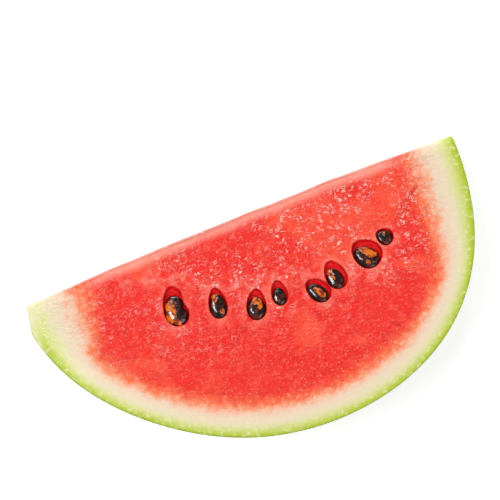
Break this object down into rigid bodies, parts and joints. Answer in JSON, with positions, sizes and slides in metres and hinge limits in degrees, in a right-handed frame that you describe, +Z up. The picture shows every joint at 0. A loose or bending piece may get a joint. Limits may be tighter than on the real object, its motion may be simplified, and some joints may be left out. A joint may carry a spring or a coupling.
{
  "type": "watermelon wedge",
  "caption": "Wedge of seeded watermelon with green skin, pale rind and red flesh, lying on one of its two cut faces; dark seeds sit in open pits in both cut faces.",
  "frame": {"origin": "on the resting plane, under the middle of the wedge's bounding box", "axes": "+X along the melon's own axis, towards the trimmed stem end; +Y from the thin ridge towards the skin; +Z up, out of the surface that the wedge lies on"},
  "size_m": [0.2236, 0.1086, 0.0563],
  "materials": {
    "flesh_and_rind": "wet, glossy red flesh, cream-white rind and a thin green skin",
    "seed_coat": "wet and glossy, dark brown to black with orange-brown patches"
  },
  "bodies": {
    "root": {"wedge": "flesh_and_rind", "front_seed_1": "seed_coat", "front_seed_2": "seed_coat", "front_seed_3": "seed_coat", "front_seed_4": "seed_coat", "front_seed_5": "seed_coat", "front_seed_6": "seed_coat", "front_seed_7": "seed_coat", "front_seed_8": "seed_coat", "back_seed_1": "seed_coat", "back_seed_2": "seed_coat", "back_seed_3": "seed_coat", "back_seed_4": "seed_coat", "back_seed_5": "seed_coat", "back_seed_6": "seed_coat"}
  },
  "joints": []
}
